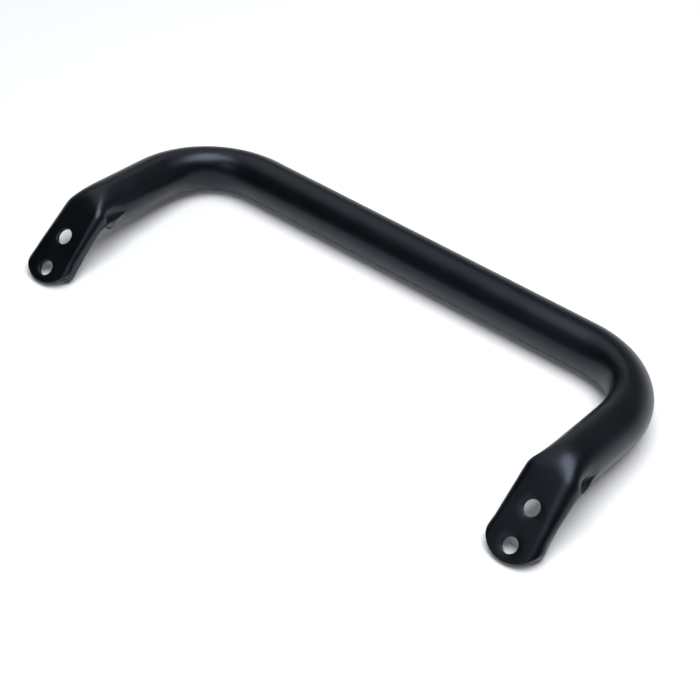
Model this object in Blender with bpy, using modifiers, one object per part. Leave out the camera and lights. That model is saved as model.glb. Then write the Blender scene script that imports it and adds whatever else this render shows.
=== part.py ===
"""Bed assist rail: one length of round steel tube, bent into a U-shaped handle.

The straight bar is the grip. A leg leaves each end of it through a quarter bend and rises
slightly, and the end of each leg is pressed into a foot that slopes down to the surface.
In a foot the lower half of the tube is pushed up against the upper half. That leaves a flat
web, two walls thick with a narrow gap, and a flange of folded wall down each side of it.
Two bolt holes go through each web.

The rail is modelled as it lies on a flat surface, +Z up, with the bar along X and the legs
towards -Y. It rests on the underside of the bar and on the tips of the feet. The origin is
on that surface, below the middle of the rail.
"""
import math

import bpy
import numpy as np

MM = 0.001

# Tube
TUBE_DIAMETER = 25.4 * MM
WALL = 1.2 * MM

# Frame
LEG_SPACING = 304.8 * MM            # between the axes of the two legs
BEND_RADIUS = 45.5 * MM             # of the bends between bar and legs, at the tube's axis
BEND_NARROWING = 3.2 * MM           # the inner side of a bend sinks in this much at its middle
LEG_RISE = math.radians(7.0)        # the legs rise this much from the bar
KNEE_DISTANCE = 93.8 * MM           # along a leg's axis, from the bar's axis to the knee
FOOT_DROP = math.radians(37.5)      # the feet slope down this much
KNEE_RADIUS = 6.0 * MM              # centreline of the knee

# Foot, measured from its knee
WEB_ABOVE_AXIS = 7.5 * MM           # from the tube's axis up to the web's upper face
FOOT_WIDTH = 28.4 * MM
TIP_WIDTH = 29.6 * MM               # the foot is a little wider at its rounded tip
WALL_GAP = 0.3 * MM                 # between the two walls of the web
KNEE_CORNERS = (8.4 * MM, 4.6 * MM)       # radius between web and flange, outer and inner side
TIP_CORNERS = (3.6 * MM, 2.6 * MM)        # the same radii at the tip
CORNER_SHRINKS = (-8.0 * MM, 40.0 * MM)   # where they go from the one to the other
FLANGE_LIFTS = (2.6 * MM, 1.2 * MM)       # the flanges are this much less deep in mid-foot
LIFTED = (0.0 * MM, 8.0 * MM)
LIFT_ENDS = (18.0 * MM, 30.0 * MM)        # where 60% of that is lost again
INNER_CORNER = 1.8 * MM             # least radius of the pushed-in wall, at its middle surface
TIP_RADIUS = 15.3 * MM
TIP_DISTANCE = 45.0 * MM            # from the knee to the end of the foot

# Bolt holes
HOLE_DIAMETER = 8.7 * MM
HOLE_DISTANCES = (17.5 * MM, 36.9 * MM)   # from the knee

# Where the round tube becomes a foot, measured from the knee, negative towards the bar
TOP_PRESSED = (-24.0 * MM, 7.0 * MM)      # the crown goes down to the web
BOTTOM_PRESSED = (-9.0 * MM, 6.0 * MM)    # the bottom goes up under the web
LOBE_FOLDS = ((-4.0 * MM, 5.0 * MM), (-5.0 * MM, 9.0 * MM))   # the lobes beside it fold to flanges
LOBE_SWELLS = 12.0 * MM                   # before they fold, they swell over this length
LOBE_BULGE = 1.7 * MM
PINCH = 1.5 * MM                          # the sides are pinched this much above the lobes
PINCHED = (-18.0 * MM, -5.0 * MM)
LIP = (-4.5 * MM, 1.0 * MM)               # where the flanges stand out again
PLANES_TURN = (-13.0 * MM, 9.0 * MM)      # the section planes turn from leg to foot
TIP_START = 27.0 * MM                     # the foot starts to widen and to follow its outline

# Facets
BEND_STEPS = 10
PRESS_PLACES = (-24, -20, -16, -13, -10.5, -8, -6, -4.2, -2.8, -1.5, -0.2, 1.2, 2.8, 4.6, 6.6, 9, 18)
TIP_STEPS = 4
SEGMENT_STEPS = (4, 3, 1, 4, 1, 2, 4)     # web, corner, flange, fold, flange, corner, web
HOLE_SIDES = 28

RADIUS = TUBE_DIAMETER / 2
MID_RADIUS = RADIUS - WALL / 2
FOLD_RADIUS = (WALL + WALL_GAP) / 2       # of the folded edge, at the wall's middle surface

ACROSS = np.array([1.0, 0.0, 0.0])
LEG_DIRECTION = np.array([0.0, -math.cos(LEG_RISE), math.sin(LEG_RISE)])
LEG_NORMAL = np.array([0.0, math.sin(LEG_RISE), math.cos(LEG_RISE)])
FOOT_DIRECTION = np.array([0.0, -math.cos(FOOT_DROP), -math.sin(FOOT_DROP)])
FOOT_NORMAL = np.array([0.0, -math.sin(FOOT_DROP), math.cos(FOOT_DROP)])
FRONT = (KNEE_DISTANCE * math.cos(LEG_RISE) + TIP_DISTANCE * math.cos(FOOT_DROP)
         + WEB_ABOVE_AXIS * math.sin(FOOT_DROP))      # from the bar's axis to the front edge
BAR_AXIS = np.array([0.0, (FRONT - RADIUS) / 2, RADIUS])
KNEE = BAR_AXIS + ACROSS * LEG_SPACING / 2 + LEG_DIRECTION * KNEE_DISTANCE


def smooth(value, start, end):
    """0 before start, 1 after end, and an S curve between them."""
    t = np.clip((value - start) / (end - start), 0.0, 1.0)
    return t * t * (3.0 - 2.0 * t)


def run(start, end, steps):
    """Evenly spaced points from start up to, not including, end."""
    return np.array(start) + np.outer(np.arange(steps) / steps, np.array(end) - np.array(start))


def turn(centre, radius, start, end, steps):
    """Points on an arc whose angle is measured from +Y towards +X, without the last one."""
    angles = start + (end - start) * np.arange(steps) / steps
    return np.array(centre) + radius * np.column_stack((np.sin(angles), np.cos(angles)))


def foot_section(width, corner_radius, lift=0.0):
    """Middle surface of the wall in a foot: right half, from top centre to bottom centre.

    The wall runs out along the web, down the flange, round the fold, and back up inside it.
    The tube's perimeter stays the same, and what the other stretches leave of it is flange,
    but for the lift, by which the folded edge is higher.
    """
    right = math.pi / 2
    top = WEB_ABOVE_AXIS - WALL / 2
    under = top - WALL - WALL_GAP
    side = width / 2 - WALL / 2
    inside = side - WALL - WALL_GAP
    outer = corner_radius - WALL / 2
    inner = max(INNER_CORNER, outer - WALL - WALL_GAP)
    curved = right * (outer + inner) + math.pi * FOLD_RADIUS
    flanges = math.pi * MID_RADIUS - curved - (side - outer) - (inside - inner)
    bottom = (top - outer + under - inner - flanges) / 2 + lift
    web, corner, flange, fold, rise, inner_corner, inner_web = SEGMENT_STEPS
    return np.vstack((
        run((0, top), (side - outer, top), web),
        turn((side - outer, top - outer), outer, 0.0, right, corner),
        run((side, top - outer), (side, bottom), flange),
        turn((side - FOLD_RADIUS, bottom), FOLD_RADIUS, right, 3 * right, fold),
        run((inside, bottom), (inside, under - inner), rise),
        turn((inside - inner, under - inner), inner, right, 0.0, inner_corner),
        run((inside - inner, under), (0, under), inner_web),
        [(0, under)],
    ))


def round_section():
    """The same points as in foot_section, moved to where they lie on the round tube."""
    lengths = np.linalg.norm(np.diff(foot_section(FOOT_WIDTH, KNEE_CORNERS[0]), axis=0), axis=1)
    fraction = np.append(0.0, np.cumsum(lengths)) / lengths.sum()
    return MID_RADIUS * np.column_stack((np.sin(math.pi * fraction), np.cos(math.pi * fraction)))


def whole_loop(halves):
    """A closed loop from a right half for each side, clockwise from the top centre."""
    right, left = halves
    return np.vstack((right, left[-2:0:-1] * np.array([-1.0, 1.0])))


def knee_path(distance):
    """A point on the axis through the knee, which is a small arc between leg and foot."""
    turned = LEG_RISE + FOOT_DROP
    tangent = KNEE_RADIUS * math.tan(turned / 2)
    if distance <= -tangent:
        return KNEE + LEG_DIRECTION * distance
    if distance >= tangent:
        return KNEE + FOOT_DIRECTION * distance
    angle = turned * (distance + tangent) / (2 * tangent)
    start = KNEE - LEG_DIRECTION * tangent
    return start + KNEE_RADIUS * (LEG_DIRECTION * math.sin(angle) - LEG_NORMAL * (1 - math.cos(angle)))


def plane_up(distance):
    """Upward vector of a section, turning from square to the leg to square to the foot."""
    angle = (LEG_RISE + FOOT_DROP) * smooth(distance, *PLANES_TURN)
    return LEG_NORMAL * math.cos(angle) + LEG_DIRECTION * math.sin(angle)


def crown_share(distance):
    """How far the crown has gone from round to web, along a curve from crown line to web line.

    The curve bends round the corner in which those two lines meet and is straight at its ends.
    """
    if not TOP_PRESSED[0] < distance < TOP_PRESSED[1]:
        return 0.0 if distance <= TOP_PRESSED[0] else 1.0
    start = KNEE + LEG_DIRECTION * TOP_PRESSED[0] + LEG_NORMAL * RADIUS
    end = KNEE + FOOT_DIRECTION * TOP_PRESSED[1] + FOOT_NORMAL * WEB_ABOVE_AXIS
    along = (end - start) @ FOOT_NORMAL / (LEG_DIRECTION @ FOOT_NORMAL)
    corner = start + LEG_DIRECTION * along
    t = np.linspace(0.0, 1.0, 200)[:, None]
    curve = (1 - t) ** 3 * start + 3 * t * (1 - t) * corner + t ** 3 * end - knee_path(distance)
    upward = plane_up(distance)
    height = np.interp(0.0, curve @ np.cross(ACROSS, upward), curve @ upward)
    return (RADIUS - height) / (RADIUS - WEB_ABOVE_AXIS)


def half_middle(distance, width, side):
    """Middle surface of the wall in one half of a section, on the outer or the inner side."""
    plain = round_section()
    around = np.linspace(0.0, 1.0, len(plain))
    lower = smooth(around, 0.35, 0.65)
    middle_share = smooth(around, 0.70, 0.98)
    lobe = smooth(around, 0.37, 0.52) * (1 - smooth(around, 0.66, 0.90))
    flank = smooth(around, 0.28, 0.37) * (1 - smooth(around, 0.40, 0.50))
    corner = KNEE_CORNERS[side] + (TIP_CORNERS[side] - KNEE_CORNERS[side]) * smooth(distance, *CORNER_SHRINKS)
    lift = FLANGE_LIFTS[side] * smooth(distance, *LIFTED) * (1 - 0.6 * smooth(distance, *LIFT_ENDS))
    fold = LOBE_FOLDS[side]
    top = crown_share(distance)
    lobes = smooth(distance, *fold)
    bottom = smooth(distance, *BOTTOM_PRESSED)
    share = top + (lobes + (bottom - lobes) * middle_share - top) * lower
    swell = smooth(distance, fold[0] - LOBE_SWELLS, fold[0]) * (1 - lobes)
    pinch = PINCH * smooth(distance, *PINCHED) * (1 - smooth(distance, *LIP))
    middle = plain + (foot_section(width, corner, lift) - plain) * share[:, None]
    middle += plain / MID_RADIUS * (LOBE_BULGE * swell * lobe)[:, None]
    return middle - np.outer(pinch * flank, (1.0, 0.0))


def wall_surfaces(distance, width):
    """Outer and inner outline of the tube's wall at a distance from the knee."""
    middle = whole_loop([half_middle(distance, width, side) for side in (0, 1)])
    along = np.roll(middle, -1, axis=0) - np.roll(middle, 1, axis=0)
    along /= np.linalg.norm(along, axis=1)[:, None]
    outward = np.column_stack((-along[:, 1], along[:, 0]))
    return middle + outward * WALL / 2, middle - outward * WALL / 2


def bar_and_bend():
    """Centre, sideways and upward vector of each section from mid-bar to the end of the bend."""
    bend_centre = BAR_AXIS + ACROSS * (LEG_SPACING / 2 - BEND_RADIUS) + LEG_DIRECTION * BEND_RADIUS
    frames = [(BAR_AXIS, -LEG_DIRECTION, LEG_NORMAL)]
    for step in range(BEND_STEPS + 1):
        angle = math.pi / 2 * step / BEND_STEPS
        out = ACROSS * math.sin(angle) - LEG_DIRECTION * math.cos(angle)
        frames.append((bend_centre + out * BEND_RADIUS, out, LEG_NORMAL))
    return frames


def place(outline, centre, sideways, upward):
    """Section points in space."""
    return centre + outline[:, :1] * sideways + outline[:, 1:] * upward


def tip_ring(outline, step):
    """A ring near the tip: every point runs a share of the way to the rounded outline."""
    centre = TIP_DISTANCE - TIP_RADIUS
    end = centre + np.sqrt(np.maximum(TIP_RADIUS ** 2 - outline[:, 0] ** 2, 0.0))
    distance = TIP_START + (end - TIP_START) * step / TIP_STEPS
    ring = place(outline, KNEE, ACROSS, FOOT_NORMAL)
    return ring + distance[:, None] * FOOT_DIRECTION


def narrowed(outline, sink):
    """A round outline whose inner side of the bend has sunk in."""
    inner_side = np.minimum(outline[:, :1], 0.0)
    return outline - np.hstack((inner_side, 0.0 * inner_side)) * sink / RADIUS


def rail_rings():
    """Rings of points on the outer and the inner surface, from mid-bar to one tip."""
    outer, inner = [], []
    for centre, sideways, upward in bar_and_bend():
        sink = BEND_NARROWING * (2 * sideways[0] * LEG_DIRECTION.dot(sideways)) ** 2
        for rings, outline in zip((outer, inner), wall_surfaces(-KNEE_DISTANCE, FOOT_WIDTH)):
            rings.append(place(narrowed(outline, sink), centre, sideways, upward))
    for distance in np.array(PRESS_PLACES) * MM:
        for rings, outline in zip((outer, inner), wall_surfaces(distance, FOOT_WIDTH)):
            rings.append(place(outline, knee_path(distance), ACROSS, plane_up(distance)))
    for step in range(TIP_STEPS + 1):
        width = FOOT_WIDTH + (TIP_WIDTH - FOOT_WIDTH) * smooth(step, 0, TIP_STEPS)
        for rings, outline in zip((outer, inner), wall_surfaces(TIP_START, width)):
            rings.append(tip_ring(outline, step))
    return np.array(outer), np.array(inner)


def loft_faces(first, rings, points, flip):
    """Quads between neighbouring rings, whose vertices start at number first."""
    faces = []
    for ring in range(rings - 1):
        for point in range(points):
            near = first + ring * points
            far = near + points
            after = (point + 1) % points
            face = (near + point, near + after, far + after, far + point)
            faces.append(face[::-1] if flip else face)
    return faces


def half_rail_mesh():
    """One half of the tube: outer surface, inner surface and the cut edge at the tip."""
    outer, inner = rail_rings()
    rings, points = outer.shape[:2]
    count = rings * points
    faces = loft_faces(0, rings, points, flip=False) + loft_faces(count, rings, points, flip=True)
    last = count - points
    for point in range(points):
        after = (point + 1) % points
        faces.append((last + point, last + after, last + count + after, last + count + point))
    mesh = bpy.data.meshes.new("assist_rail_tube")
    mesh.from_pydata(np.vstack((outer.reshape(-1, 3), inner.reshape(-1, 3))).tolist(), [], faces)
    mesh.validate()
    return mesh


def hole_cutters(collection):
    """A short cylinder for each bolt hole, square to the web."""
    cutters = []
    web_middle = WEB_ABOVE_AXIS - WALL - WALL_GAP / 2
    for side in (-1, 1):
        for distance in HOLE_DISTANCES:
            centre = KNEE + FOOT_DIRECTION * distance + FOOT_NORMAL * web_middle
            bpy.ops.mesh.primitive_cylinder_add(
                vertices=HOLE_SIDES, radius=HOLE_DIAMETER / 2, depth=4 * WALL,
                location=(side * centre[0], centre[1], centre[2]), rotation=(FOOT_DROP, 0, 0))
            cutter = bpy.context.object
            cutter.name = "hole_cutter"
            cutter.hide_render = True
            cutter.display_type = "WIRE"
            move_to(cutter, collection)
            cutters.append(cutter)
    return cutters


def move_to(thing, collection):
    """Put an object in one collection only."""
    for old in list(thing.users_collection):
        old.objects.unlink(thing)
    collection.objects.link(thing)


def new_collection(name):
    collection = bpy.data.collections.new(name)
    bpy.context.scene.collection.children.link(collection)
    return collection


def powder_coated_steel():
    """Satin black powder coat."""
    material = bpy.data.materials.new("powder_coated_steel")
    material.use_nodes = True
    shader = material.node_tree.nodes["Principled BSDF"]
    shader.inputs["Base Color"].default_value = (0.012, 0.013, 0.015, 1.0)
    shader.inputs["Roughness"].default_value = 0.42
    shader.inputs["Metallic"].default_value = 0.0
    return material


def assist_rail_tube(collection, cutters):
    """The whole tube: a lofted half, mirrored, with its bolt holes cut."""
    tube = bpy.data.objects.new("assist_rail_tube", half_rail_mesh())
    collection.objects.link(tube)
    tube.data.materials.append(powder_coated_steel())
    mirror = tube.modifiers.new("other_half", "MIRROR")
    mirror.merge_threshold = 0.01 * MM
    for cutter in cutters:
        hole = tube.modifiers.new("bolt_hole", "BOOLEAN")
        hole.operation = "DIFFERENCE"
        hole.solver = "EXACT"
        hole.object = cutter
    tube.data.shade_smooth()
    tube.data.set_sharp_from_angle(angle=math.radians(40))
    return tube


def main():
    for thing in list(bpy.data.objects):
        bpy.data.objects.remove(thing)
    rail = new_collection("bed_assist_rail")
    cutters = hole_cutters(new_collection("cutters"))
    assist_rail_tube(rail, cutters)


main()
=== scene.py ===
# %% [markdown]
# # A bed assist rail in satin black powder coat
#
# The object is one length of 1 inch steel tube. It is bent into a U-shaped handle, and the
# end of each leg is pressed into a drilled foot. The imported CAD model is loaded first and
# gives the size and place of everything. The rail is then made again here as a much finer
# surface, with rounded edges and worked holes, and gets a powder-coat material.

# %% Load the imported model
import math

import bpy
import numpy as np
from mathutils import Matrix, Vector


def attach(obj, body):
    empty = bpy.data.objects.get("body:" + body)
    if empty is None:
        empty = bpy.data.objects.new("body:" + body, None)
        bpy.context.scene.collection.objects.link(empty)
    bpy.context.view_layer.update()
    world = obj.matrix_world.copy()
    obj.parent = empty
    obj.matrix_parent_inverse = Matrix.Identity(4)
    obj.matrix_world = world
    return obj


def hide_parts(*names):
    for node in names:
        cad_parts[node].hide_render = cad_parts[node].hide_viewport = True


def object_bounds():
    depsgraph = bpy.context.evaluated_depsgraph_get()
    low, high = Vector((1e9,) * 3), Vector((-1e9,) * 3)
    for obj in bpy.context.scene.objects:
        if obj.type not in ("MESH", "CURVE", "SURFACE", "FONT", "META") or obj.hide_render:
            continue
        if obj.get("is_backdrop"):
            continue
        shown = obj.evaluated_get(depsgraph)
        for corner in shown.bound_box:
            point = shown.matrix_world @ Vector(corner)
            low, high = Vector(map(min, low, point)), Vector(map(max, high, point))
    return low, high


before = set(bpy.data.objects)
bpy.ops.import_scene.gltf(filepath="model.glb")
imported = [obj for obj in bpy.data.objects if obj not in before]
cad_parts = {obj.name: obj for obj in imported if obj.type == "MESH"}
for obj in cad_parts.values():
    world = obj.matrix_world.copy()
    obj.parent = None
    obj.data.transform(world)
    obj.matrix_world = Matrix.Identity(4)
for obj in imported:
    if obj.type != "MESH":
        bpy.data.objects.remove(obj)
cad_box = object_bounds()
MM = 0.001
print("CAD box, mm:", [[round(c / MM, 1) for c in corner] for corner in cad_box])


# %% [markdown]
# ## Colours and nodes
#
# Colours are picked as sRGB hex values, as in a paint program, but Blender's sockets hold
# linear light, so one function converts them. One more adds a node with its settings and
# its links, which keeps each material below short enough to read as a list of layers.

# %% Two helpers for materials
def linear(hex_colour):
    """sRGB hex to linear RGBA: low values are divided by 12.92, the rest follow a 2.4 power."""
    srgb = np.array([int(hex_colour[i:i + 2], 16) / 255 for i in (1, 3, 5)])
    light = np.where(srgb <= 0.04045, srgb / 12.92, ((srgb + 0.055) / 1.055) ** 2.4)
    return (*light.tolist(), 1.0)


def add_node(tree, kind, links=None, values=None, **properties):
    """Add a node. links maps an input to the output that feeds it, values maps an input to
    its value, both by the input's name or number, and properties are the node's own."""
    node = tree.nodes.new(kind)
    for name, value in properties.items():
        setattr(node, name, value)
    for socket, value in (values or {}).items():
        node.inputs[socket].default_value = value
    for socket, source in (links or {}).items():
        tree.links.new(source, node.inputs[socket])
    return node


print("the grey #808080 is", [round(c, 4) for c in linear("#808080")[:3]], "in linear light")


# %% [markdown]
# ## The sizes of the rail
#
# These are the sizes of the CAD part. The depth of a foot's flanges isn't a size of its own:
# it is what the web leaves over of the tube's perimeter, less a lift in mid-foot, where the
# flanges are less deep. A pair such as TOP_PRESSED is where along the tube a change starts
# and ends, measured from the knee, the corner between leg and foot: leg is minus, foot plus.

# %% Sizes
TUBE_DIAMETER = 25.4 * MM
WALL = 1.2 * MM
LEG_SPACING = 304.8 * MM                  # between the axes of the two legs
BEND_RADIUS = 45.5 * MM                   # at the tube's axis
BEND_NARROWING = 3.2 * MM                 # how far a bend's inner side sinks in
LEG_RISE = math.radians(7.0)
KNEE_DISTANCE = 93.8 * MM                 # along the leg's axis, from the bar's axis
FOOT_DROP = math.radians(37.5)
KNEE_RADIUS = 6.0 * MM                    # at the tube's axis
WEB_ABOVE_AXIS = 7.5 * MM                 # up to the web's upper face
FOOT_WIDTH = 28.4 * MM
TIP_WIDTH = 29.6 * MM
WALL_GAP = 0.3 * MM                       # between the two walls of the web
KNEE_CORNERS = (8.4 * MM, 4.6 * MM)       # between web and flange, outer and inner side
TIP_CORNERS = (3.6 * MM, 2.6 * MM)
CORNER_SHRINKS = (-8.0 * MM, 40.0 * MM)   # from knee corners to tip corners
FLANGE_LIFTS = (2.6 * MM, 1.2 * MM)       # how far the flanges' edges are up in mid-foot
LIFTED = (0.0, 8.0 * MM)
LIFT_LOST = 0.6                           # the share of the lift that is lost again
LIFT_ENDS = (18.0 * MM, 30.0 * MM)
INNER_CORNER = 1.8 * MM                   # least radius of the pushed-in wall
TIP_RADIUS = 15.3 * MM
TIP_DISTANCE = 45.0 * MM                  # from the knee to the end of the foot
TOP_PRESSED = (-24.0 * MM, 7.0 * MM)      # the crown bends down to the web
BOTTOM_PRESSED = (-9.0 * MM, 6.0 * MM)    # the bottom is pushed up under the web
LOBE_FOLDS = ((-4.0 * MM, 5.0 * MM), (-5.0 * MM, 9.0 * MM))   # the lobes close into flanges
LOBE_SWELLS = 12.0 * MM                   # before they close they swell over this length
LOBE_BULGE = 1.7 * MM
PINCH = 1.5 * MM                          # how far the sides are pinched before the flanges
PINCHED = (-18.0 * MM, -5.0 * MM)
LIP = (-4.5 * MM, 1.0 * MM)               # where the flanges stand out again
PLANES_TURN = (-13.0 * MM, 9.0 * MM)      # the sections turn from leg to foot
TIP_START = 27.0 * MM                     # the foot starts to follow the tip's outline

RADIUS = TUBE_DIAMETER / 2
MID_RADIUS = RADIUS - WALL / 2            # to the wall's middle line
FOLD_RADIUS = (WALL + WALL_GAP) / 2       # of a flange's folded edge

ACROSS = np.array([1.0, 0.0, 0.0])
LEG_DIRECTION = np.array([0.0, -math.cos(LEG_RISE), math.sin(LEG_RISE)])
LEG_NORMAL = np.array([0.0, math.sin(LEG_RISE), math.cos(LEG_RISE)])
FOOT_DIRECTION = np.array([0.0, -math.cos(FOOT_DROP), -math.sin(FOOT_DROP)])
FOOT_NORMAL = np.array([0.0, -math.sin(FOOT_DROP), math.cos(FOOT_DROP)])
BAR_AXIS = np.array([0.0, cad_box[1][1] - RADIUS, RADIUS])
KNEE = BAR_AXIS + ACROSS * LEG_SPACING / 2 + LEG_DIRECTION * KNEE_DISTANCE
print("knee of the right leg, mm:", (KNEE / MM).round(1))


# %% [markdown]
# ## The section of the tube
#
# Every section has the same points in the same order, so neighbouring sections can be
# joined point to point. The round section is the foot's section unrolled onto a circle:
# each point keeps its share of the wall's length, nearly as the steel does in the press.

# %% Round and pressed sections
SEGMENT_STEPS = (16, 12, 4, 16, 4, 8, 16)   # web, corner, flange, fold, flange, corner, web


def smooth(value, start, end):
    """t = (value - start) / (end - start), held between 0 and 1, and then 3t^2 - 2t^3."""
    t = np.clip((value - start) / (end - start), 0.0, 1.0)
    return t * t * (3.0 - 2.0 * t)


def run(start, end, steps):
    """start + (end - start) i / steps, for i from 0 up to steps - 1."""
    return np.array(start) + np.outer(np.arange(steps) / steps, np.array(end) - np.array(start))


def turn(centre, radius, start, end, steps):
    """centre + radius (sin a, cos a), with a from start towards end, without the last point."""
    angles = start + (end - start) * np.arange(steps) / steps
    return np.array(centre) + radius * np.column_stack((np.sin(angles), np.cos(angles)))


def foot_section(width, corner_radius, lift=0.0):
    """The wall's middle line in a foot, from top centre round one side to bottom centre.

    Straight web, quarter-circle corner, straight flange, half-circle fold, and back up
    inside: the flange is half of what pi * MID_RADIUS leaves after the other stretches,
    and ends higher by the lift."""
    right = math.pi / 2
    top = WEB_ABOVE_AXIS - WALL / 2
    under = top - WALL - WALL_GAP
    side = width / 2 - WALL / 2
    inside = side - WALL - WALL_GAP
    outer = corner_radius - WALL / 2
    inner = max(INNER_CORNER, outer - WALL - WALL_GAP)
    curved = right * (outer + inner) + math.pi * FOLD_RADIUS
    flanges = math.pi * MID_RADIUS - curved - (side - outer) - (inside - inner)
    bottom = (top - outer + under - inner - flanges) / 2 + lift
    web, corner, flange, fold, rise, inner_corner, inner_web = SEGMENT_STEPS
    return np.vstack((
        run((0, top), (side - outer, top), web),
        turn((side - outer, top - outer), outer, 0.0, right, corner),
        run((side, top - outer), (side, bottom), flange),
        turn((side - FOLD_RADIUS, bottom), FOLD_RADIUS, right, 3 * right, fold),
        run((inside, bottom), (inside, under - inner), rise),
        turn((inside - inner, under - inner), inner, right, 0.0, inner_corner),
        run((inside - inner, under), (0, under), inner_web),
        [(0, under)],
    ))


def round_section():
    """MID_RADIUS (sin a, cos a), with a = pi times the point's share of the wall's length."""
    lengths = np.linalg.norm(np.diff(foot_section(FOOT_WIDTH, KNEE_CORNERS[0]), axis=0), axis=1)
    share = np.append(0.0, np.cumsum(lengths)) / lengths.sum()
    return MID_RADIUS * np.column_stack((np.sin(math.pi * share), np.cos(math.pi * share)))


ROUND = round_section()
AROUND = np.linspace(0.0, 1.0, len(ROUND))          # 0 at the top centre, 1 at the bottom
# How much a point belongs to each part of the section, from 0 to 1:
LOWER = smooth(AROUND, 0.35, 0.65)
MIDDLE = smooth(AROUND, 0.70, 0.98)                 # of the bottom, between the two lobes
LOBE = smooth(AROUND, 0.37, 0.52) * (1 - smooth(AROUND, 0.66, 0.90))
SIDE = smooth(AROUND, 0.28, 0.37) * (1 - smooth(AROUND, 0.40, 0.50))
print(len(ROUND) * 2 - 2, "points in a section")


# %% [markdown]
# ## From round to pressed
#
# The crown of the tube comes down to the web in a long curve, and the lower half is pushed
# up under it nearer the knee. So the blend from round to pressed has a share of its own for
# the crown, for the two lobes low on the sides, and for the bottom between them. Just before
# the flanges start the sides are pinched, which leaves a ledge along each side of the leg.
# The wall's two faces lie half a wall either side of its middle line, along the line's
# normal.
#
# This shape has a known fault. On the outer side of a foot the corner and the lift take up
# more wall than the flange has, 4 to 19 mm past the knee, so its straight part comes out
# below nothing and the faces cross at the folded edge. They also cross in the ledge's corner
# and where the inner side closes.

# %% Wall faces at a distance from the knee
CURVE_POINTS = 200                        # along the crown's curve


def whole_loop(halves):
    """Right half, then the left one in reverse order with its first coordinate negated."""
    right, left = halves
    return np.vstack((right, left[-2:0:-1] * np.array([-1.0, 1.0])))


def plane_up(distance):
    """Upward vector of a section: square to the leg, then turning to be square to the foot."""
    angle = (LEG_RISE + FOOT_DROP) * smooth(distance, *PLANES_TURN)
    return LEG_NORMAL * math.cos(angle) + LEG_DIRECTION * math.sin(angle)


def knee_path(distance):
    """KNEE + direction * distance, with a small arc of KNEE_RADIUS between leg and foot."""
    turned = LEG_RISE + FOOT_DROP
    tangent = KNEE_RADIUS * math.tan(turned / 2)
    if abs(distance) >= tangent:
        return KNEE + (FOOT_DIRECTION if distance > 0 else LEG_DIRECTION) * distance
    angle = turned * (distance + tangent) / (2 * tangent)
    arc = LEG_DIRECTION * math.sin(angle) - LEG_NORMAL * (1 - math.cos(angle))
    return KNEE - LEG_DIRECTION * tangent + KNEE_RADIUS * arc


def crown_share(distance):
    """How far the crown has gone from round to web. It follows the curve
    (1-t)^3 A + 3t(1-t) B + t^3 C, from A on the crown line to C on the web line, where B is
    the corner in which those two lines meet."""
    if not TOP_PRESSED[0] < distance < TOP_PRESSED[1]:
        return 0.0 if distance <= TOP_PRESSED[0] else 1.0
    start = KNEE + LEG_DIRECTION * TOP_PRESSED[0] + LEG_NORMAL * RADIUS
    end = KNEE + FOOT_DIRECTION * TOP_PRESSED[1] + FOOT_NORMAL * WEB_ABOVE_AXIS
    along = (end - start) @ FOOT_NORMAL / (LEG_DIRECTION @ FOOT_NORMAL)
    corner = start + LEG_DIRECTION * along
    t = np.linspace(0.0, 1.0, CURVE_POINTS)[:, None]
    curve = (1 - t) ** 3 * start + 3 * t * (1 - t) * corner + t ** 3 * end - knee_path(distance)
    upward = plane_up(distance)
    forward = np.cross(ACROSS, upward)
    height = np.interp(0.0, curve @ forward, curve @ upward)
    return (RADIUS - height) / (RADIUS - WEB_ABOVE_AXIS)


def half_middle(distance, width, side):
    """round + (foot - round) * share, with a share each for crown, lobes and the middle of
    the bottom. Before the flanges start the lobes swell and the sides are pinched."""
    shrunk = smooth(distance, *CORNER_SHRINKS)
    corner = KNEE_CORNERS[side] * (1 - shrunk) + TIP_CORNERS[side] * shrunk
    lift = FLANGE_LIFTS[side] * smooth(distance, *LIFTED)
    lift *= 1 - LIFT_LOST * smooth(distance, *LIFT_ENDS)
    fold = LOBE_FOLDS[side]
    top = crown_share(distance)
    lobes = smooth(distance, *fold)
    bottom = smooth(distance, *BOTTOM_PRESSED)
    share = (top + (lobes + (bottom - lobes) * MIDDLE - top) * LOWER)[:, None]
    swell = smooth(distance, fold[0] - LOBE_SWELLS, fold[0]) * (1 - lobes)
    pinch = PINCH * smooth(distance, *PINCHED) * (1 - smooth(distance, *LIP))
    middle = ROUND + (foot_section(width, corner, lift) - ROUND) * share
    middle += ROUND / MID_RADIUS * (LOBE_BULGE * swell * LOBE)[:, None]
    return middle - np.outer(pinch * SIDE, [1.0, 0.0])


def wall_faces(distance, width, thinning=1.0):
    """middle +- normal * WALL / 2 * thinning, where the normal is square to the middle line."""
    middle = whole_loop([half_middle(distance, width, side) for side in (0, 1)])
    along = np.roll(middle, -1, axis=0) - np.roll(middle, 1, axis=0)
    along /= np.linalg.norm(along, axis=1)[:, None]
    offset = np.column_stack((-along[:, 1], along[:, 0])) * WALL / 2 * thinning
    return middle + offset, middle - offset


def place(outline, centre, sideways, upward):
    """centre + sideways * first coordinate + upward * second coordinate."""
    return centre + outline[:, :1] * sideways + outline[:, 1:] * upward


print("web thickness, mm:", round((2 * WALL + WALL_GAP) / MM, 2))


# %% [markdown]
# ## The path of the tube
#
# Sections are set square to the axis: along the bar, round a quarter circle, up the leg,
# over a small arc at the knee and down the foot. On the inner side of a bend the tube
# sinks in a little, as bent tube does. The last rings follow the round outline of the tip.

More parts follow.
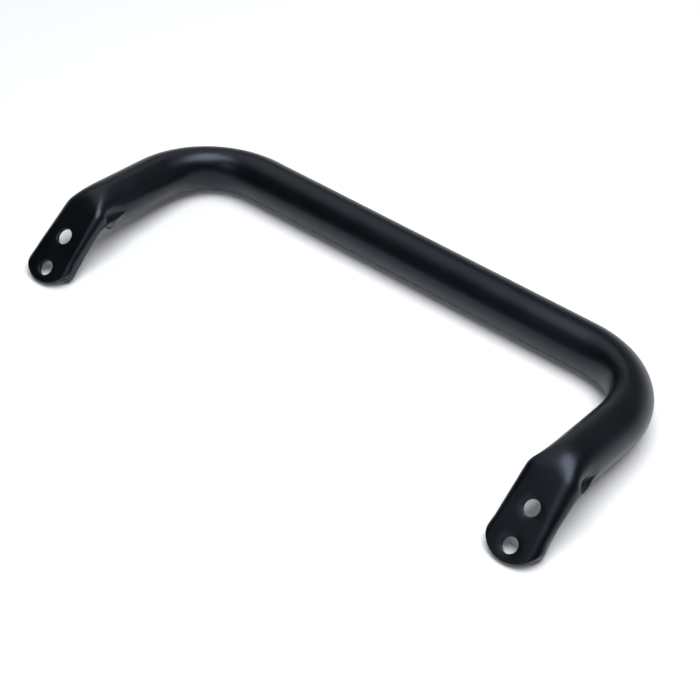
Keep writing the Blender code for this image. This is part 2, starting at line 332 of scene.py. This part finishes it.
# %% Rings of points from mid-bar to the tip
BAR_STEPS, BEND_STEPS, LEG_STEPS = 6, 30, 6
PRESS_STEPS, FOOT_STEPS, TIP_STEPS, EDGE_STEPS = 78, 14, 18, 4
EDGE_DEPTH = 0.5 * MM                  # how far back from the tip its edge starts to round
EDGE_POWER = 0.6                       # how full the rounding is
EDGE_LEFT = 0.1                        # the share of the wall that is left at the very tip


def bend_rings():
    """Along the bar the centre moves in X. In the bend it is centre + out * BEND_RADIUS with
    out = ACROSS sin a - LEG_DIRECTION cos a, and the inner side sinks by sin(2a)^2."""
    bend_centre = BAR_AXIS + ACROSS * (LEG_SPACING / 2 - BEND_RADIUS) + LEG_DIRECTION * BEND_RADIUS
    plain = wall_faces(-KNEE_DISTANCE, FOOT_WIDTH)
    bar_end = LEG_SPACING / 2 - BEND_RADIUS
    for x in np.linspace(0.0, bar_end, BAR_STEPS, endpoint=False):
        yield [place(face, BAR_AXIS + ACROSS * x, -LEG_DIRECTION, LEG_NORMAL) for face in plain]
    for angle in np.linspace(0.0, math.pi / 2, BEND_STEPS + 1):
        out = ACROSS * math.sin(angle) - LEG_DIRECTION * math.cos(angle)
        sink = BEND_NARROWING * math.sin(2 * angle) ** 2 / RADIUS
        narrow = [face - np.minimum(face * [1.0, 0.0], 0.0) * sink for face in plain]
        yield [place(face, bend_centre + out * BEND_RADIUS, out, LEG_NORMAL) for face in narrow]


def press_rings():
    """The plane of a section turns from square to the leg to square to the foot."""
    leg = np.linspace(BEND_RADIUS - KNEE_DISTANCE, TOP_PRESSED[0], LEG_STEPS + 1)[1:-1]
    press = np.linspace(TOP_PRESSED[0], PLANES_TURN[1], PRESS_STEPS)
    foot = np.linspace(PLANES_TURN[1], TIP_START, FOOT_STEPS)[1:-1]
    for distance in np.concatenate((leg, press, foot)):
        yield [place(face, knee_path(distance), ACROSS, plane_up(distance))
               for face in wall_faces(distance, FOOT_WIDTH)]


def tip_rings():
    """Each point runs to a circle: end = centre + sqrt(TIP_RADIUS^2 - x^2). In the last rings
    the wall thins as L + (1 - L) cos(a)^p, where L is EDGE_LEFT and p is EDGE_POWER, while
    the ring moves on by EDGE_DEPTH sin(a)^p."""
    steps = [(step / TIP_STEPS, 0.0) for step in range(TIP_STEPS + 1)]
    steps += [(1.0, angle) for angle in np.linspace(0.0, math.pi / 2, EDGE_STEPS + 1)[1:]]
    for share, angle in steps:
        width = FOOT_WIDTH + (TIP_WIDTH - FOOT_WIDTH) * smooth(share, 0.0, 1.0)
        thinning = max(math.cos(angle), 0.0) ** EDGE_POWER * (1 - EDGE_LEFT) + EDGE_LEFT
        rings = []
        for face in wall_faces(TIP_START, width, thinning):
            bulge = np.sqrt(np.maximum(TIP_RADIUS ** 2 - face[:, 0] ** 2, 0.0))
            end = TIP_DISTANCE - TIP_RADIUS + bulge
            distance = TIP_START + (end - EDGE_DEPTH - TIP_START) * share
            distance = distance + EDGE_DEPTH * math.sin(angle) ** EDGE_POWER
            at_knee = place(face, KNEE, ACROSS, FOOT_NORMAL)
            rings.append(at_knee + distance[:, None] * FOOT_DIRECTION)
        yield rings


half = np.array([*bend_rings(), *press_rings(), *tip_rings()])       # ring, face, point, xyz
print("rings in half the rail:", len(half), " points in a ring:", half.shape[2])


# %% [markdown]
# ## Marks of the work
#
# A punched hole draws the sheet down around it. That soft dip catches the light, so it is
# moved into the surface before the holes are cut.

# %% Mirror the half and work the surface
HOLES = [                             # side, distance from the knee, diameter
    (1, 17.5 * MM, 8.5 * MM), (1, 36.9 * MM, 8.2 * MM),
    (-1, 17.5 * MM, 9.0 * MM), (-1, 36.9 * MM, 8.5 * MM),
]
DRAWN_DOWN = 0.28 * MM                # at the rim of a hole
DRAWN_WIDTH = 1.7 * MM                # over which the dip fades
WEB_REACH = 3 * WALL                  # points within this height of the web go down with it


def hole_centre(side, distance):
    """KNEE + FOOT_DIRECTION * distance, in the middle of the web, on the leg of that side."""
    centre = KNEE + FOOT_DIRECTION * distance + FOOT_NORMAL * (WEB_ABOVE_AXIS - WALL - WALL_GAP / 2)
    return centre * np.array([side, 1.0, 1.0])


def drawn_down(points):
    """Lower the web by DRAWN_DOWN * exp(-((r - R) / DRAWN_WIDTH)^2), r from a hole's axis."""
    for side, distance, diameter in HOLES:
        away = points - hole_centre(side, distance)
        height = away @ FOOT_NORMAL
        r = np.sqrt(np.maximum((away ** 2).sum(-1) - height ** 2, 0.0))
        depth = DRAWN_DOWN * np.exp(-(np.maximum(r - diameter / 2, 0.0) / DRAWN_WIDTH) ** 2)
        depth = np.where(np.abs(height) < WEB_REACH, depth, 0.0)
        points = points - depth[..., None] * FOOT_NORMAL
    return points


# Reversing the rings as well as negating X keeps the faces pointing outwards.
rings = np.concatenate((half[:0:-1] * np.array([-1.0, 1.0, 1.0]), half))
rings = drawn_down(rings)
print("whole rail:", rings.shape[0], "rings of", rings.shape[2], "points on two faces")


# %% [markdown]
# ## The mesh
#
# Four neighbouring points make a face. The outer and the inner face of the wall are two
# grids, and a strip at each tip joins them, so the wall is one closed surface.

# %% Points to mesh
def grid_faces(rows, columns, first, flip):
    """Quads (i, j), (i, j+1), (i+1, j+1), (i+1, j), where j wraps round."""
    i, j = np.meshgrid(np.arange(rows - 1), np.arange(columns), indexing="ij")
    after = (j + 1) % columns
    quads = np.stack((i * columns + j, i * columns + after,
                      (i + 1) * columns + after, (i + 1) * columns + j), axis=-1).reshape(-1, 4)
    return first + (quads[:, ::-1] if flip else quads)


def new_mesh(name, points, faces):
    """Points and equal-sided faces into a new mesh object at the origin."""
    mesh = bpy.data.meshes.new(name)
    mesh.vertices.add(len(points))
    mesh.vertices.foreach_set("co", points.astype(np.float32).ravel())
    mesh.loops.add(faces.size)
    mesh.loops.foreach_set("vertex_index", faces.astype(np.int32).ravel())
    mesh.polygons.add(len(faces))
    starts = np.arange(0, faces.size, faces.shape[1], dtype=np.int32)
    mesh.polygons.foreach_set("loop_start", starts)
    mesh.update(calc_edges=True)
    mesh.validate()
    thing = bpy.data.objects.new(name, mesh)
    bpy.context.scene.collection.objects.link(thing)
    return thing


rows, columns = rings.shape[0], rings.shape[2]
count = rows * columns
j = np.arange(columns)
after = (j + 1) % columns
end = count - columns
tip_faces = np.vstack((
    np.stack((end + j, end + after, end + count + after, end + count + j), axis=-1),
    np.stack((j, count + j, count + after, after), axis=-1)))
outer_faces = grid_faces(rows, columns, 0, False)
inner_faces = grid_faces(rows, columns, count, True)
points = np.vstack((rings[:, 0].reshape(-1, 3), rings[:, 1].reshape(-1, 3)))
rail = new_mesh("rail_surface", points, np.vstack((outer_faces, inner_faces, tip_faces)))
print("rail:", len(rail.data.polygons), "faces")


# %% [markdown]
# ## The bolt holes
#
# Each hole goes square through both walls of the web. The cutter is a spool rather than a
# cylinder: it widens towards both faces along a quarter circle, so the cut leaves the soft
# rim that a punched and coated hole has. The cut is applied, so the rail is one plain mesh.

# %% Cut the holes
RIM = 0.35 * MM                        # radius of the soft rim
RIM_TURN = math.radians(78)            # how far the rim turns before it runs on straight
RIM_POINTS = 7
SPOOL_PAST = 1.2 * MM                  # how far the cutter runs on past the surface
HOLE_SIDES = 64
SHARPEST_SMOOTH = math.radians(50)     # edges that turn more than this are shaded sharp


def spool(side, distance, diameter):
    """r(a) = R + RIM (1 - cos a) at height T - RIM + RIM sin a, up to a = RIM_TURN, then
    straight on past the surface. T is half the web's thickness; the other end mirrors it."""
    angles = np.linspace(0.0, RIM_TURN, RIM_POINTS)
    radii = diameter / 2 + RIM * (1 - np.cos(angles))
    heights = WALL + WALL_GAP / 2 - RIM + RIM * np.sin(angles)
    radii = np.append(radii, radii[-1] + SPOOL_PAST * math.sin(RIM_TURN))
    heights = np.append(heights, heights[-1] + SPOOL_PAST * math.cos(RIM_TURN))
    radii, heights = np.append(radii[::-1], radii), np.append(-heights[::-1], heights)
    around = np.arange(HOLE_SIDES) * 2 * math.pi / HOLE_SIDES
    ring = ACROSS * np.cos(around)[:, None] + FOOT_DIRECTION * np.sin(around)[:, None]
    centre = hole_centre(side, distance) - FOOT_NORMAL * DRAWN_DOWN
    points = centre + radii[:, None, None] * ring + heights[:, None, None] * FOOT_NORMAL
    quads = grid_faces(len(radii), HOLE_SIDES, 0, True).tolist()
    first = list(range(HOLE_SIDES))
    last = [(len(radii) - 1) * HOLE_SIDES + number for number in reversed(first)]
    mesh = bpy.data.meshes.new("spool")
    mesh.from_pydata(points.reshape(-1, 3).tolist(), [], quads + [first, last])
    cutter = bpy.data.objects.new("spool", mesh)
    bpy.context.scene.collection.objects.link(cutter)
    return cutter


cutters = [spool(*hole) for hole in HOLES]
for cutter in cutters:
    cut = rail.modifiers.new("bolt_hole", "BOOLEAN")
    cut.operation, cut.solver, cut.object = "DIFFERENCE", "EXACT", cutter
depsgraph = bpy.context.evaluated_depsgraph_get()
worked = bpy.data.meshes.new_from_object(rail.evaluated_get(depsgraph))
rail.modifiers.clear()
rail.data = worked
for cutter in cutters:
    bpy.data.objects.remove(cutter)
rail.data.shade_smooth()
rail.data.set_sharp_from_angle(angle=SHARPEST_SMOOTH)
print("after cutting:", len(rail.data.polygons), "faces,",
      sum(len(face.vertices) - 2 for face in rail.data.polygons), "triangles")


# %% [markdown]
# ## Satin black powder coat
#
# Powder coat is polyester or epoxy resin, baked on as dust that melts and flows. It is a
# plastic, so it isn't metallic and reflects about 4% of the light head on. Carbon black
# takes nearly all the rest. What makes it powder coat to the eye is orange peel, low bumps
# 1 to 3 mm across where the melt didn't level out, and a finer grain that spreads the
# reflections to a satin. Over that lie a few specks of dust.

# %% The coat
WAVES = 24.0 * MM                      # unevenness of the bent tube under the coat
PEEL = 2.2 * MM                        # across one bump of the orange peel
GRAIN = 0.5 * MM                       # the real grain is about 0.1 mm, too fine to show
WAVE_HEIGHT, PEEL_HEIGHT, GRAIN_HEIGHT = 0.10 * MM, 0.010 * MM, 0.0050 * MM
SPECKS = 6.0 * MM                      # from one speck of dust to the next
SPECK_SIZE = 0.16 * MM
SPECK_COVER = 0.55                     # how much of the black a speck hides
BLACKS = ("#010204", "#040609")
DUST = "#8a8c90"
TINT = "#dde9ff"                       # of the reflections, slightly blue
ROUGHNESS = (0.31, 0.38)
IOR = 1.46
MIX_A, MIX_B, MIX_OUT = 6, 7, 2        # the colour sockets of a Mix node


def satin_black_powder_coat():
    """Colour: two blacks mixed in clouds, and dust. Roughness: the clouds. Bump: three noises."""
    material = bpy.data.materials.new("satin_black_powder_coat")
    material.use_nodes = True
    tree = material.node_tree
    shader = tree.nodes["Principled BSDF"]
    shader.inputs["IOR"].default_value = IOR
    shader.inputs["Specular Tint"].default_value = linear(TINT)
    spot = add_node(tree, "ShaderNodeTexCoord").outputs["Object"]

    clouds = add_node(tree, "ShaderNodeTexNoise", {"Vector": spot},
                      {"Scale": 1 / WAVES, "Detail": 4.0})
    blacks = add_node(tree, "ShaderNodeMix", {0: clouds.outputs["Fac"]},
                      {MIX_A: linear(BLACKS[0]), MIX_B: linear(BLACKS[1])}, data_type="RGBA")
    cells = add_node(tree, "ShaderNodeTexVoronoi", {"Vector": spot}, {"Scale": 1 / SPECKS})
    specks = add_node(tree, "ShaderNodeMapRange", {"Value": cells.outputs["Distance"]},
                      {"From Min": SPECK_SIZE / SPECKS, "From Max": SPECK_SIZE / SPECKS / 2,
                       "To Min": 0.0, "To Max": SPECK_COVER})
    dusty = add_node(tree, "ShaderNodeMix",
                     {0: specks.outputs["Result"], MIX_A: blacks.outputs[MIX_OUT]},
                     {MIX_B: linear(DUST)}, data_type="RGBA")
    tree.links.new(dusty.outputs[MIX_OUT], shader.inputs["Base Color"])

    satin = add_node(tree, "ShaderNodeMapRange", {"Value": clouds.outputs["Fac"]},
                     {"From Min": 0.3, "From Max": 0.7,
                      "To Min": ROUGHNESS[0], "To Max": ROUGHNESS[1]})
    tree.links.new(satin.outputs["Result"], shader.inputs["Roughness"])

    below = {}
    for size, height in ((WAVES, WAVE_HEIGHT), (PEEL, PEEL_HEIGHT), (GRAIN, GRAIN_HEIGHT)):
        noise = add_node(tree, "ShaderNodeTexNoise", {"Vector": spot},
                         {"Scale": 1 / size, "Detail": 2.0})
        bump = add_node(tree, "ShaderNodeBump", {"Height": noise.outputs["Fac"], **below},
                        {"Strength": 1.0, "Distance": height})
        below = {"Normal": bump.outputs["Normal"]}
    tree.links.new(bump.outputs["Normal"], shader.inputs["Normal"])
    return material


rail.data.materials.clear()
rail.data.materials.append(satin_black_powder_coat())
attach(rail, "root")
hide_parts("assist_rail_tube")
print("rail coated and placed on the frame")


# %% [markdown]
# ## The camera
#
# The camera looks down on the rail from the front right. It sits on a line from its target,
# at a bearing and a height in degrees, and has a long lens, so that far and near parts of
# the rail differ little in size.

# %% Camera
BEARING = math.radians(39.92)          # to the right of straight in front
ELEVATION = math.radians(42.40)
ROLL = math.radians(-0.09)
CAMERA_DISTANCE = 0.8680               # metres from the target
TARGET = np.array([0.0092, BAR_AXIS[1] - 0.0669, 0.0])
LENS, SENSOR = 87.33, 36.0             # mm
CLIP_START = 0.02


def toward(bearing, elevation):
    """Unit vector (sin b cos e, -cos b cos e, sin e): b turns from the front to the right."""
    return np.array([math.sin(bearing) * math.cos(elevation),
                     -math.cos(bearing) * math.cos(elevation), math.sin(elevation)])


back = toward(BEARING, ELEVATION)
level = np.array([math.cos(BEARING), math.sin(BEARING), 0.0])
upright = np.cross(back, level)
right = level * math.cos(ROLL) + upright * math.sin(ROLL)
camera = bpy.data.objects.new("camera", bpy.data.cameras.new("camera"))
bpy.context.scene.collection.objects.link(camera)
camera.data.lens, camera.data.sensor_width = LENS, SENSOR
camera.data.clip_start = CLIP_START
facing = Matrix(np.array([right, np.cross(back, right), back]).T.tolist()).to_4x4()
camera.matrix_world = Matrix.Translation(TARGET + back * CAMERA_DISTANCE) @ facing
bpy.context.scene.camera = camera
print("camera at", [round(c, 3) for c in camera.matrix_world.translation])


# %% [markdown]
# ## A studio for a black object
#
# A glossy black thing has hardly any colour of its own: it shows the room. Here that is a
# white floor, one big softbox overhead, a small one in front, a faint one at the left behind
# and dimness elsewhere, which draws the dark band along the tube.

# %% Lights
def softbox(name, bearing, elevation, distance, width, height, radiance, colour):
    """A lamp at toward(bearing, elevation) * distance, facing the origin. Its power is
    radiance * pi * area, because its light spreads evenly over the cosine of the angle."""
    lamp = bpy.data.lights.new(name, "AREA")
    lamp.shape, lamp.size, lamp.size_y = "RECTANGLE", width, height
    lamp.energy = radiance * math.pi * width * height
    lamp.color = linear(colour)[:3]
    holder = bpy.data.objects.new(name, lamp)
    bpy.context.scene.collection.objects.link(holder)
    way = toward(math.radians(bearing), math.radians(elevation))
    holder.location = way * distance
    holder.rotation_euler = Vector(way).to_track_quat("Z", "Y").to_euler()
    holder.visible_camera = False
    print(name, "power", round(lamp.energy, 1), "W")


softbox("overhead", 90, 79, 1.3, 1.06, 1.06, 6.1, "#fafcff")
softbox("front", 2, 38, 1.4, 0.40, 0.50, 2.2, "#f0f6ff")
softbox("left", -118, 48, 1.5, 1.20, 1.00, 0.78, "#ffffff")


# %% [markdown]
# ## Beyond the floor
#
# The room's own light is very dim, with a low glow behind the rail, which the rail's far
# side reflects. The camera itself sees plain white beyond the floor, so the room needs no
# walls.

# %% Surroundings
DIM, GLOW = 0.03, 0.6                  # strength everywhere, and what the glow adds to it
GLOW_SIDE = (0.1, 0.9)                 # where it rises, in the direction's Y
GLOW_TOP, GLOW_HIGH_UP = 0.45, 0.15    # in the direction's Z it falls from 1 to this much


def surroundings():
    """Strength = DIM + GLOW * behind * low, where behind rises with Y and low falls with Z.
    The camera's own rays see white instead."""
    world = bpy.data.worlds.new("studio")
    bpy.context.scene.world = world
    world.use_nodes = True
    tree = world.node_tree
    tree.nodes.clear()
    way = add_node(tree, "ShaderNodeTexCoord").outputs["Generated"]
    axes = add_node(tree, "ShaderNodeSeparateXYZ", {"Vector": way})
    behind = add_node(tree, "ShaderNodeMapRange", {"Value": axes.outputs["Y"]},
                      {"From Min": GLOW_SIDE[0], "From Max": GLOW_SIDE[1]},
                      interpolation_type="SMOOTHSTEP")
    low = add_node(tree, "ShaderNodeMapRange", {"Value": axes.outputs["Z"]},
                   {"From Min": 0.0, "From Max": GLOW_TOP, "To Min": 1.0, "To Max": GLOW_HIGH_UP},
                   interpolation_type="SMOOTHSTEP")
    glow = add_node(tree, "ShaderNodeMath",
                    {0: behind.outputs["Result"], 1: low.outputs["Result"]}, operation="MULTIPLY")
    strength = add_node(tree, "ShaderNodeMath", {0: glow.outputs["Value"]}, {1: GLOW, 2: DIM},
                        operation="MULTIPLY_ADD")
    room = add_node(tree, "ShaderNodeBackground", {"Strength": strength.outputs["Value"]},
                    {"Color": linear("#f2f6ff")})
    white = add_node(tree, "ShaderNodeBackground",
                     values={"Color": linear("#ffffff"), "Strength": 1.0})
    ray = add_node(tree, "ShaderNodeLightPath")
    both = add_node(tree, "ShaderNodeMixShader", {0: ray.outputs["Is Camera Ray"],
                                                  1: room.outputs["Background"],
                                                  2: white.outputs["Background"]})
    add_node(tree, "ShaderNodeOutputWorld", {"Surface": both.outputs["Shader"]})


surroundings()
bpy.context.scene.view_settings.view_transform = "Standard"
print("world:", bpy.context.scene.world.name)


# %% [markdown]
# ## The floor
#
# The rail lies on a matt white sheet that runs far past the view on all sides. The lamps only light
# its middle, so farther out it glows by itself and stays white to the horizon. Near the rail it
# glows faintly too: painted light that lifts the shade under and around the rail.

# %% Floor
FLOOR_SIZE = 30.0                      # metres
GLOW_NEAR, GLOW_FAR = 0.5, 2.0         # metres from the middle
# the faint glow nearer than GLOW_NEAR is painted light, lifting the shade around the rail
FLOOR_GLOW = (0.05, 1.0)               # emission nearer than the first and past the second


def matt_white_sheet():
    """Emission goes from the first FLOOR_GLOW to the second between GLOW_NEAR and GLOW_FAR."""
    material = bpy.data.materials.new("matt_white_sheet")
    material.use_nodes = True
    tree = material.node_tree
    shader = tree.nodes["Principled BSDF"]
    shader.inputs["Base Color"].default_value = linear("#f6f6f6")
    shader.inputs["Roughness"].default_value = 0.8
    shader.inputs["Emission Color"].default_value = linear("#ffffff")
    spot = add_node(tree, "ShaderNodeTexCoord").outputs["Object"]
    away = add_node(tree, "ShaderNodeVectorMath", {0: spot}, operation="LENGTH")
    glow = add_node(tree, "ShaderNodeMapRange", {"Value": away.outputs["Value"]},
                    {"From Min": GLOW_NEAR, "From Max": GLOW_FAR,
                     "To Min": FLOOR_GLOW[0], "To Max": FLOOR_GLOW[1]},
                    interpolation_type="SMOOTHSTEP")
    tree.links.new(glow.outputs["Result"], shader.inputs["Emission Strength"])
    return material


corners = np.array([[-1, -1, 0], [1, -1, 0], [1, 1, 0], [-1, 1, 0]]) * FLOOR_SIZE / 2
floor = new_mesh("floor", corners, np.array([[0, 1, 2, 3]]))
floor.data.materials.append(matt_white_sheet())
floor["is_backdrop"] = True
print("floor:", FLOOR_SIZE, "m square")


# %% [markdown]
# ## Measuring the result
#
# The rail's box is measured again and printed beside the CAD's box, because the finer surface must
# not change the size of the real thing.

# %% Sizes, and the end
bpy.context.view_layer.update()
boxes = {"cad": cad_box, "visual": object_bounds()}
boxes = {name: [list(map(float, corner)) for corner in box] for name, box in boxes.items()}
for name, (lowest, highest) in boxes.items():
    print(name, "size, mm:", [round((b - a) / MM, 2) for a, b in zip(lowest, highest)])
